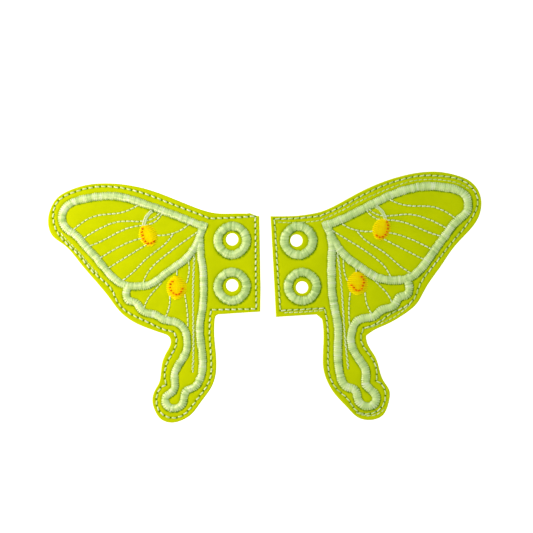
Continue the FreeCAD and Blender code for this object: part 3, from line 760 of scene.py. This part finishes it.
def triangulated(loops, inner_points):
    """Triangles over the first loop, without the other loops' insides. The loops' points come first."""
    ring_points = np.vstack(loops)
    edges = []
    start = 0
    for loop in loops:
        number = len(loop)
        edges += [(start + i, start + (i + 1) % number) for i in range(number)]
        start += number
    points = np.vstack([ring_points, inner_points])
    vectors = [Vector((float(u), float(v))) for u, v in points]
    found, _, faces, origins, _, _ = delaunay_2d_cdt(vectors, edges, [], 1, 1e-5)
    placed = np.array([(point.x, point.y) for point in found])
    faces = np.array([face for face in faces if len(face) == 3])
    middles = placed[faces].mean(axis=1)
    keep = np.ones(len(faces), bool)
    for loop in loops[1:]:
        centre = loop.mean(axis=0)
        radius = np.linalg.norm(loop - centre, axis=1).max()
        keep &= np.linalg.norm(middles - centre, axis=1) > radius * 0.995
    return placed, faces[keep], origins


def off_edge(loop):
    """Level directions off the sheet at each place of a bounding loop."""
    around = np.roll(loop, -1, axis=0) - np.roll(loop, 1, axis=0)
    return across(around / np.linalg.norm(around, axis=1)[:, None])


def wall(upper, lower):
    """Quads between two rings of indices."""
    around = zip(upper, lower, upper[1:] + upper[:1], lower[1:] + lower[:1])
    return [(next_up, next_low, low, up) for up, low, next_up, next_low in around]


def unmarked(points):
    """A face's relief: how far it moves into the sheet, and how much painted shade it has. Here it is plain.
    """
    return np.zeros(len(points)), np.zeros(len(points))


def sheet(side, name, loops, top, bottom):
    """One sheet as a closed mesh. top and bottom each give a level, a grid of inner points and a relief."""
    points = []
    faces = []
    cavity = []
    rims = []
    count = 0
    for (level, inner, relief), turned in ((top, 1), (bottom, -1)):
        flat, triangles, origins = triangulated(loops, inner)
        # each relief gives a depth and an amount of painted shade
        depth, dark = relief(flat)
        points.append(np.column_stack([flat, level - turned * depth]))
        cavity.append(dark)
        corner = flat[triangles]
        first = corner[:, 1] - corner[:, 0]
        second = corner[:, 2] - corner[:, 0]
        upward = first[:, 0] * second[:, 1] - first[:, 1] * second[:, 0] > 0
        order = np.where((upward == (turned > 0))[:, None], triangles, triangles[:, ::-1])
        faces += (order + count).tolist()
        rims.append({source: index + count for index, sources in enumerate(origins) for source in sources})
        count += len(flat)
    heights = np.vstack(points)[:, 2]
    start = 0
    for loop in loops:
        upper, lower = ([rim[start + i] for i in range(len(loop))] for rim in rims)
        previous = upper
        for share in EDGE_LEVELS:
            ring = loop + off_edge(loop) * (EDGE_PUSH * math.sin(math.pi * share))
            height = heights[upper] + (heights[lower] - heights[upper]) * share
            points.append(np.column_stack([ring, height]))
            current = list(range(count, count + len(loop)))
            count += len(loop)
            faces += wall(previous, current)
            previous = current
        faces += wall(previous, lower)
        start += len(loop)
    cavity = np.concatenate(cavity + [np.zeros(count - len(heights))])
    return build(side, name, np.vstack(points), faces, drawn=np.vstack(points), cavity=cavity,
                 cut_edge=np.arange(count) >= len(heights))


def waves(points, seed, size, octaves=3):
    """Smooth irregular values between about -1 and 1, the same each time."""
    rng = random.Random(seed)
    total = np.zeros(len(points))
    for octave in range(octaves * 4):
        scale = size / (1.6 ** (octave // 4))
        angle = rng.uniform(0, 2 * math.pi)
        way = np.array([math.cos(angle), math.sin(angle)]) * (2 * math.pi / scale)
        total += np.sin(points @ way + rng.uniform(0, 2 * math.pi)) / (1 + octave // 4)
    return total / 3.5


def row_marks(route, pitch):
    """The line of a row of stitches and its needle holes."""
    lines = [along(spline(drawn), 0.3)[0] for drawn in route]
    holes = [row_stitches(drawn, pitch, 1, 0)[2] for drawn in route]
    return np.vstack(lines), np.vstack(holes)


def bump(distance, radius):
    """A smooth hump: 1 at no distance, and almost 0 at twice the radius."""
    return np.exp(-(distance / radius) ** 2)


def front_relief(side, bands):
    """The embroidered face: puckered along stitches, pulled down beside the satin, rounded at the edge, with
    painted shade in its grooves and needle holes and beside the satin.
    """
    veins = row_marks(dropped(side, FORE_VEINS + HIND_VEINS), VEIN_PITCH)
    tail = row_marks([TAIL_VEIN], TAIL_PITCH)
    rows = {
        "edge": row_marks(EDGE_ROW[side], EDGE_PITCH),
        "tack": row_marks(TACK_ROW[side], TACK_PITCH),
        "vein": [np.vstack(marks) for marks in zip(veins, tail)],
    }
    rim = np.vstack(sheet_loops(side))
    middles = np.vstack([points for points, _, _ in bands])
    halves = np.concatenate([np.full(len(points), half) for points, half, _ in bands])
    shades = np.concatenate([np.full(len(points), shade) for points, _, shade in bands])

    def relief(points):
        gaps = {name: (gap(points, line), gap(points, holes)) for name, (line, holes) in rows.items()}
        band_gap, band_index = nearest(points, middles)
        beyond = band_gap - halves[band_index]
        away = (points - middles[band_index]) * np.array([SIDES[side], 1])
        lower = np.clip(0.6 + 0.5 * (away @ LOWER_SIDE) / np.maximum(band_gap, 1e-6), 0.35, 1)
        jagged = 0.68 + 0.42 * np.sin(waves(points, 7, 0.9, 2) * 7)
        reach = shades[band_index] * (0.6 + 0.4 * lower)
        beside = np.where(beyond > -0.25, bump(np.maximum(beyond - 0.08, 0), reach), 0)
        quiet = np.minimum(np.minimum(gaps["edge"][0], gaps["vein"][0]), np.maximum(beyond, 0))
        depth = -PILLOW * (1 - np.exp(-quiet / 2.2))
        # painted shade beside the satin and round the rings, in jagged patches and darkest on the lower side
        dark = 1.25 * beside * lower * jagged
        for name, (groove, prick, groove_shade, prick_shade) in ROW_DENTS.items():
            line_gap, hole_gap = gaps[name]
            depth += groove[0] * bump(line_gap, groove[1]) + prick[0] * bump(hole_gap, prick[1])
            # painted shade in the row's groove and needle holes
            shade = prick_shade[0] * bump(hole_gap, prick_shade[1])
            dark = np.maximum(dark, shade + groove_shade[0] * bump(line_gap, groove_shade[1]))
        depth += beside * (0.1 + 0.16 * lower * jagged)
        depth += RIM_DENT[0] * bump(gap(points, rim), RIM_DENT[1]) - 0.05 * waves(points, side, 16)
        return np.where(beyond < -0.25, 0.3, depth), np.clip(dark, 0, 1)

    return relief


def back_relief(side):
    """The plain back: grooves under the bobbin thread, and a rounded edge, with painted shade in the needle
    holes and along the edges of the eyelets' bobbin thread.
    """
    line, holes = row_marks(EDGE_ROW[side], EDGE_PITCH)
    rim = np.vstack(sheet_loops(side))

    def relief(points):
        hole_gap = gap(points, holes)
        depth = 0.24 * bump(gap(points, line), 0.42) + 0.2 * bump(hole_gap, 0.3)
        depth += 0.14 * bump(gap(points, rim), RIM_DENT[1])
        # painted shade in the needle holes
        dark = 0.5 * bump(hole_gap, 0.36)
        for v in EYELET_LEVELS:
            radius = np.linalg.norm(points - np.array([0, v]), axis=1)
            past = np.maximum(BACK_EYELET_INNER - radius, radius - BACK_EYELET_OUTER)
            depth = np.maximum(depth, 0.3 * bump(np.maximum(past, 0), 0.3))
            # painted shade along both edges of the eyelet's bobbin thread
            dark = np.maximum(dark, 0.45 * bump(np.abs(past), 0.3))
        return depth, dark

    return relief


def fold_strip(low, high):
    """A finer grid over the strip that bends."""
    grid = hexagons(low, high, 0.45)
    across_fold = grid[:, 0] * math.cos(FOLD_TILT) - grid[:, 1] * math.sin(FOLD_TILT)
    return grid[(across_fold > FOLD_START - 1) & (across_fold < FOLD_END + 1)]


def inner_grid(loops, pitch, extra, spacing):
    """Grid points inside the sheet and clear of its edges, the extra ones first."""
    low, high = loops[0].min(axis=0), loops[0].max(axis=0)
    grid = np.vstack(extra + [fold_strip(low, high), hexagons(low, high, pitch)])
    grid = grid[within(grid, loops[0])]
    for loop in loops[1:]:
        grid = grid[np.linalg.norm(grid - loop.mean(axis=0), axis=1) > LACE_HOLE + 0.12]
    grid = thinned(grid, spacing)
    return grid[gap(grid, np.vstack(loops)) > 0.14]


def hole_points(holes, radius):
    """Needle holes, each with a ring of points round it."""
    return [holes] + [circle(hole, radius, 6) for hole in holes]

# ---------------------------------------------------------------- materials

class Nodes:
    """A material's node tree, with short ways to add nodes and join them."""

    def __init__(self, name):
        self.material = bpy.data.materials.new(name)
        self.material.use_nodes = True
        self.tree = self.material.node_tree

    def fill(self, node, values):
        """Join or set a node's inputs, each given by its name or number."""
        for key, value in values.items():
            if hasattr(value, "links"):
                self.tree.links.new(value, node.inputs[key])
            else:
                node.inputs[key].default_value = value

    def add(self, kind, values, **settings):
        """A new node's outputs."""
        node = self.tree.nodes.new("ShaderNode" + kind)
        for key, value in settings.items():
            setattr(node, key, value)
        self.fill(node, values)
        return node.outputs

    def attribute(self, name, output="Fac"):
        return self.add("Attribute", {}, attribute_name=name)[output]

    def math(self, operation, first, second=0.0):
        return self.add("Math", {0: first, 1: second}, operation=operation)[0]

    def mix(self, share, first, second):
        return self.add("Mix", {0: share, 6: first, 7: second}, data_type="RGBA")[2]

    def ramp(self, value, low, high, start=0.0, end=1.0):
        return self.add("MapRange", {0: value, 1: low, 2: high, 3: start, 4: end})[0]

    def noise(self, place, scale, detail=3.0, rough=0.5):
        values = {"Vector": place, "Scale": scale, "Detail": detail, "Roughness": rough}
        return self.add("TexNoise", values)[0]

    def bump(self, height, distance, strength=1.0, below=None):
        values = {"Strength": strength, "Distance": distance, "Height": height}
        if below is not None:
            values["Normal"] = below
        return self.add("Bump", values)[0]

    def surface(self, **values):
        """The material, with its shader's inputs filled."""
        shader = self.tree.nodes["Principled BSDF"]
        self.fill(shader, {key.replace("_", " "): value for key, value in values.items()})
        return self.material


def vinyl_material(name, lime, deep):
    """Faux leather: a fine pebbled coat over a pale knitted backing, which shows at the cut edge."""
    nodes = Nodes(name)
    drawn = nodes.attribute("drawn", "Vector")
    cavity = nodes.attribute("cavity")
    cut = nodes.attribute("cut_edge")
    mottle = nodes.noise(drawn, 0.16, 4.0)
    fine = nodes.noise(drawn, 2.6, 5.0, 0.6)
    colour = nodes.mix(nodes.ramp(mottle, 0.35, 0.65, 0.0, 0.5), lime, deep)
    colour = nodes.mix(nodes.ramp(fine, 0.3, 0.75, 0.0, 0.22), colour, deep)
    # Painted shade: where the relief marks it, in needle holes, grooves and beside the satin, the colour
    # darkens towards a deep green.
    colour = nodes.mix(nodes.ramp(cavity, 0.04, 0.85, 0.0, 0.92), colour, (0.07, 0.2, 0.004, 1))
    level = nodes.add("SeparateXYZ", {0: drawn})[2]
    middle = nodes.math("ABSOLUTE", nodes.math("SUBTRACT", level, FACE / 2))
    backing = nodes.math("MULTIPLY", nodes.ramp(middle, 0.3, 0.36, 1.0, 0.0), cut)
    colour = nodes.mix(nodes.ramp(backing, 0.4, 0.6), colour, (0.62, 0.68, 0.4, 1))
    cells = nodes.add("TexVoronoi", {"Vector": drawn, "Scale": 1.9}, feature="SMOOTH_F1")
    grain = nodes.bump(cells["Distance"], 0.00009, 0.35)
    normal = nodes.bump(fine, 0.00006, 0.3, grain)
    rough = nodes.ramp(mottle, 0.3, 0.7, 0.5, 0.62)
    return nodes.surface(Base_Color=colour, Roughness=rough, Specular_IOR_Level=0.16,
                         Specular_Tint=(0.8, 0.9, 0.08, 1), Normal=normal)


def stabiliser_material():
    """White non-woven sheet: short matted fibres."""
    nodes = Nodes("stabiliser_fibre")
    drawn = nodes.attribute("drawn", "Vector")
    fibre = nodes.noise(drawn, 3.5, 8.0, 0.7)
    colour = nodes.mix(nodes.ramp(fibre, 0.3, 0.7), (0.78, 0.8, 0.74, 1), (0.93, 0.94, 0.9, 1))
    normal = nodes.bump(fibre, 0.00012, 0.6)
    return nodes.surface(Base_Color=colour, Roughness=0.9, Specular_IOR_Level=0.2, Normal=normal)


def thread_material(name, shade, bright, lit, accent=None, roughness=0.34, gloss=0.7, dense=1.5,
                    glint=(1, 1, 1, 1), metal=0.0):
    """Two-ply embroidery thread: filaments along it, twisted plies, and each length a little different.
    shade, at the low end of the tone, is partly the thread's darker tone and partly painted shade; lit, at
    the high end, is a painted highlight.
    """
    nodes = Nodes(name)
    lay = nodes.attribute("lay", "Vector")
    tone = nodes.attribute("tone")
    run, turn, seed = nodes.add("SeparateXYZ", {0: lay}).values()
    twist = nodes.math("ADD", nodes.math("MULTIPLY", run, 5.2), nodes.math("MULTIPLY", turn, 2.0))
    ply = nodes.math("SINE", twist)
    fibre_run = nodes.math("MULTIPLY", run, 2.4)
    fibre_turn = nodes.math("MULTIPLY", twist, 2.4)
    fibre = nodes.noise(nodes.add("CombineXYZ", {0: fibre_run, 1: fibre_turn, 2: seed})[0], 1.6)
    # Tone runs from the shade colour, partly painted shade, through the thread's own colour to the lit
    # colour, a painted highlight.
    colour = nodes.mix(nodes.ramp(tone, 0.0, 0.7), shade, bright)
    colour = nodes.mix(nodes.ramp(tone, 0.75, 1.0), colour, lit)
    if accent is not None:
        colour = nodes.mix(nodes.attribute("tint"), colour, accent)
    colour = nodes.mix(nodes.ramp(fibre, 0.38, 0.62, 0.34, 0.0), colour, shade)
    plies = nodes.bump(ply, 0.00004, 0.35)
    normal = nodes.bump(fibre, 0.00003, 0.4, plies)
    rough = nodes.ramp(fibre, 0.3, 0.7, roughness - 0.05, roughness + 0.1)
    return nodes.surface(Base_Color=colour, Roughness=rough, IOR=dense, Specular_IOR_Level=gloss,
                         Specular_Tint=glint, Metallic=metal, Normal=normal)


# Each thread's colours: shade (partly painted shade), its own colour, and lit (a painted highlight).
LOOKS = {
    "lime_vinyl": vinyl_material("lime_faux_leather", (0.60, 0.66, 0.0, 1), (0.50, 0.575, 0.0, 1)),
    "stabiliser": stabiliser_material(),
    "green_thread": thread_material(
        "pale_green_thread", (0.24, 0.46, 0.05, 1), (0.81, 0.95, 0.46, 1), (0.96, 1.0, 0.84, 1),
        roughness=0.4, gloss=1.0, dense=1.6, metal=0.18),
    "yellow_thread": thread_material(
        "yellow_thread", (1.0, 0.66, 0.0, 1), (1.0, 0.82, 0.0, 1), (1.0, 0.88, 0.0, 1),
        accent=(1.0, 0.36, 0.0, 1), gloss=1.0, dense=1.85, glint=(1.0, 0.8, 0.0, 1)),
    "orange_thread": thread_material(
        "orange_thread", (0.66, 0.08, 0.0, 1), (0.84, 0.17, 0.0, 1), (0.92, 0.24, 0.0, 1),
        gloss=0.6, glint=(1.0, 0.4, 0.0, 1)),
    "bobbin_thread": thread_material(
        "white_bobbin_thread", (0.62, 0.64, 0.58, 1), (0.88, 0.89, 0.84, 1), (0.92, 0.92, 0.88, 1),
        roughness=0.55, gloss=0.3),
}

# ---------------------------------------------------------------- one whole wing

def place(mesh, side, body, slot, *nodes):
    """Show a piece and hide the CAD nodes it stands for. A piece of body "fold" spans the strip that bends
    beside the tab; it is baked in place and attached to no body.
    """
    piece = show(mesh, LOOKS[slot])
    if body == "fold":
        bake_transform(piece)
    else:
        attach(piece, f"{side}_{body}")
    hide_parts(*(f"{side}_{node}" for node in nodes))


def make_borders(side):
    """Both satin borders, the forewing's over the hindwing's. Returns the bands for the vinyl's relief."""
    fore = Threads(side, "forewing_satin")
    fore_points = satin_band(fore, side, FORE_BORDER[side], 0.7, 0.05, end_drop=0.2)
    place(fore.mesh(), side, "fold", "green_thread", "forewing_border")
    hind = Threads(side, "hindwing_satin")
    hind_points = satin_band(hind, side, HIND_BORDER[side], SATIN_HALF[side] * 0.95, 0.08, under=fore_points)
    place(hind.mesh(), side, "wing", "green_thread", "hindwing_border")
    return [(points, SATIN_HALF[side], BORDER_SHADE) for points in (fore_points, hind_points)]


def make_edge_rows(side):
    """The row round the edge on both faces, and the earlier row that tacked the sheets together."""
    edge = Threads(side, "edge_row")
    thickness, tone = EDGE_THREAD[side]
    sew_row(edge, EDGE_ROW[side], EDGE_PITCH, EDGE_FILL[side], 0.13, 0.34, thickness=thickness, tone=tone)
    place(edge.mesh(), side, "fold", "green_thread",
          "tab_edge_stitching", "wing_edge_stitching", "fold_stitching")

    back = Threads(side, "back_row")
    for drawn in EDGE_ROW[side]:
        starts, ends, _ = row_stitches(drawn, EDGE_PITCH, 0.9, 0)
        for start, end in zip(starts, ends):
            stitch(back, start, end, 0.12, level=0.13, thickness=0.11, down=-1)
    place(back.mesh(), side, "fold", "bobbin_thread", "tab_back_stitching", "wing_back_stitching")

    def clear_of_ring(points):
        return np.linalg.norm(points - np.array([0, EYELET_LEVELS[0]]), axis=1) > EYELET_OUTER

    tack = Threads(side, "tack_down_row")
    sew_row(tack, TACK_ROW[side], TACK_PITCH, 0.9, 0.12, 0.06, clear_of_ring, thickness=0.14, tone=0.4)
    if side == "right":
        place(tack.mesh(), side, "fold", "green_thread",
              "wing_tack_down_stitching", "tab_tack_down_stitching")
    else:
        place(tack.mesh(), side, "wing", "green_thread", "wing_tack_down_stitching")


def make_veins(side, bands):
    """The running stitches inside the borders. Those under an eyespot or a border are left out."""
    border_points = np.vstack([points for points, _, _ in bands])

    def clear(points):
        return (gap(points, border_points) > SATIN_HALF[side] * 0.7) & ~inside_spots(points)

    fore = Threads(side, "forewing_vein_rows")
    sew_row(fore, dropped(side, FORE_VEINS), VEIN_PITCH, 0.9, 0.05, 0.3, clear)
    for offset in (-0.48, 0.0, 0.48):
        laid_thread(fore, dropped(side, [LOOP_VEIN])[0], offset)
    place(fore.mesh(), side, "wing", "green_thread", "forewing_veins")

    hind = Threads(side, "hindwing_vein_rows")
    sew_row(hind, dropped(side, HIND_VEINS), VEIN_PITCH, 0.9, 0.05, 0.3, clear)
    for offset in (-0.15, 0.15):
        beside = np.array(TAIL_VEIN) + np.array([offset, offset * 4])
        sew_row(hind, [beside], TAIL_PITCH, 0.88, 0.1, 0.24, clear, thickness=0.15)
    place(hind.mesh(), side, "wing", "green_thread", "hindwing_veins")


def make_sheets(side, bands):
    """The front vinyl, the stabiliser and the back vinyl, each one sheet from tab to wing tip."""
    loops = sheet_loops(side)
    rim = [loop - off_edge(loop) * offset for loop in loops for offset in (0.2, 0.45)]
    edge_beside = []
    for drawn in EDGE_ROW[side]:
        points, ways, _ = along(spline(drawn), 0.4)
        edge_beside += [points + across(ways) * offset for offset in (0, 0.4, -0.4, 0.8, -0.8)]
    edge_holes = row_marks(EDGE_ROW[side], EDGE_PITCH)[1]
    vein_holes = row_marks(dropped(side, FORE_VEINS + HIND_VEINS) + [TAIL_VEIN], VEIN_PITCH)[1]
    band_beside = []
    for points, half, _ in bands:
        normals = across(np.gradient(points, axis=0))
        normals /= np.linalg.norm(normals, axis=1)[:, None]
        band_beside += [points + normals * (hand * (half + off)) for hand in (1, -1) for off in (0.1, 0.4)]
    radii = (EYELET_INNER - 0.1, EYELET_INNER - 0.4, EYELET_OUTER + 0.1, EYELET_OUTER + 0.4)
    band_beside += circles(radii, 150)
    coarse = inner_grid(loops, 2.4, [], 0.4)

    holes = hole_points(edge_holes, 0.3) + hole_points(vein_holes, 0.26)
    dense = inner_grid(loops, 0.55, rim + holes + band_beside + edge_beside, 0.2)
    rings = [(ring, (EYELET_OUTER - EYELET_INNER) / 2, RING_SHADE)
             for ring in circles([(EYELET_INNER + EYELET_OUTER) / 2], 120)]
    front = sheet(side, "front_vinyl_sheet", loops, (FACE, dense, front_relief(side, bands + rings)),
                  (VINYL + STABILISER, coarse, unmarked))
    place(front, side, "fold", "lime_vinyl", "tab_front_vinyl", "fold_front_vinyl", "wing_front_vinyl")

    depth = 0.05 + 0.07 * waves(loops[0], f"{side}_ragged", 5.0)
    trimmed = [loops[0] - off_edge(loops[0]) * depth[:, None]] + loops[1:]
    middle = sheet(side, "stabiliser_sheet", trimmed, (VINYL + STABILISER, coarse, unmarked),
                   (VINYL, coarse, unmarked))
    place(middle, side, "fold", "stabiliser", "tab_stabiliser", "fold_stabiliser", "wing_stabiliser")

    radii = (BACK_EYELET_INNER - 0.3, BACK_EYELET_INNER, BACK_EYELET_OUTER, BACK_EYELET_OUTER + 0.3)
    extra = rim + hole_points(edge_holes, 0.26) + circles(radii, 110) + edge_beside
    under = inner_grid(loops, 1.0, extra, 0.24)
    back = sheet(side, "back_vinyl_sheet", loops, (VINYL, coarse, unmarked), (0.0, under, back_relief(side)))
    place(back, side, "fold", "lime_vinyl", "tab_back_vinyl", "fold_back_vinyl", "wing_back_vinyl")


def make_eyelets(side):
    """The two satin rings of a tab, and their bobbin thread on the back."""
    for name, v in zip(("upper", "lower"), EYELET_LEVELS):
        ring = eyelet_ring(side, f"{name}_eyelet_satin", v)
        place(ring, side, "tab", "green_thread", f"{name}_eyelet_ring")
    place(back_eyelets(side), side, "tab", "bobbin_thread", "back_eyelet_stitching")


def make_spots(side):
    """The yellow eyespots and the orange stitches on them."""
    for name in SPOTS:
        place(eyespot(side, name), side, "wing", "yellow_thread", f"{name}wing_eyespot")
        place(accents(side, name), side, "wing", "orange_thread", f"{name}wing_eyespot_accent")


for wing_side in SIDES:
    satin_bands = make_borders(wing_side)
    make_edge_rows(wing_side)
    make_veins(wing_side, satin_bands)
    make_sheets(wing_side, satin_bands)
    make_eyelets(wing_side)
    make_spots(wing_side)

# ---------------------------------------------------------------- floor, light and camera

def emitter(name, location, size, energy, colour):
    """A round soft light that faces the middle of the object."""
    light = bpy.data.lights.new(name, "AREA")
    light.shape = "DISK"
    light.size = size
    light.energy = energy
    light.color = colour
    lamp = bpy.data.objects.new(name, light)
    lamp.location = location
    lamp.rotation_mode = "QUATERNION"
    lamp.rotation_quaternion = (-Vector(location)).to_track_quat("-Z", "Y")
    bpy.context.scene.collection.objects.link(lamp)


def make_floor():
    """A plain pale floor that sweeps up into a low wall all round, well below the folded wings."""
    nodes = Nodes("studio_floor")
    cloudy = nodes.noise(nodes.add("TexCoord", {})["Object"], 6.0, 2.0)
    colour = nodes.mix(cloudy, (0.9, 0.9, 0.9, 1), (0.92, 0.92, 0.92, 1))
    material = nodes.surface(Base_Color=colour, Roughness=0.9, Specular_IOR_Level=0.1,
                             Emission_Color=(1, 0.86, 1, 1), Emission_Strength=0.58)
    corners = [(0.0, 0.0, FLOOR_LEVEL)]
    for radius, height in FLOOR_RINGS:
        corners += [(u, v, FLOOR_LEVEL + height) for u, v in circle((0, 0), radius, FLOOR_SIDES).tolist()]
    faces = []
    for i in range(FLOOR_SIDES):
        after = (i + 1) % FLOOR_SIDES
        faces.append((0, 1 + i, 1 + after))
        for ring in range(len(FLOOR_RINGS) - 1):
            near = 1 + ring * FLOOR_SIDES
            far = near + FLOOR_SIDES
            faces.append((near + i, far + i, far + after, near + after))
    mesh = bpy.data.meshes.new("floor")
    mesh.from_pydata(corners, [], faces)
    show(mesh, material)


make_floor()
emitter("key_light", (-0.30, -0.02, 0.13), 0.12, 0.74, (1.0, 0.73, 0.64))
emitter("top_light", (-0.18, 0.20, 0.26), 0.15, 0.33, (0.93, 1.0, 0.9))

world = bpy.data.worlds.new("studio")
world.use_nodes = True
sky = world.node_tree.nodes["Background"]
sky.inputs["Color"].default_value = (0.84, 1.0, 0.74, 1)
sky.inputs["Strength"].default_value = 0.56
bpy.context.scene.world = world

camera_data = bpy.data.cameras.new("camera")
camera_data.sensor_width = SENSOR_WIDTH
camera_data.lens = SENSOR_WIDTH * VIEW_DISTANCE / VIEW_WIDTH
camera_data.clip_start = 0.01
camera = bpy.data.objects.new("camera", camera_data)
camera.location = (*VIEW_CENTRE, VIEW_DISTANCE + FACE * MM)
bpy.context.scene.collection.objects.link(camera)
bpy.context.scene.camera = camera
bpy.context.scene.view_settings.view_transform = "Standard"
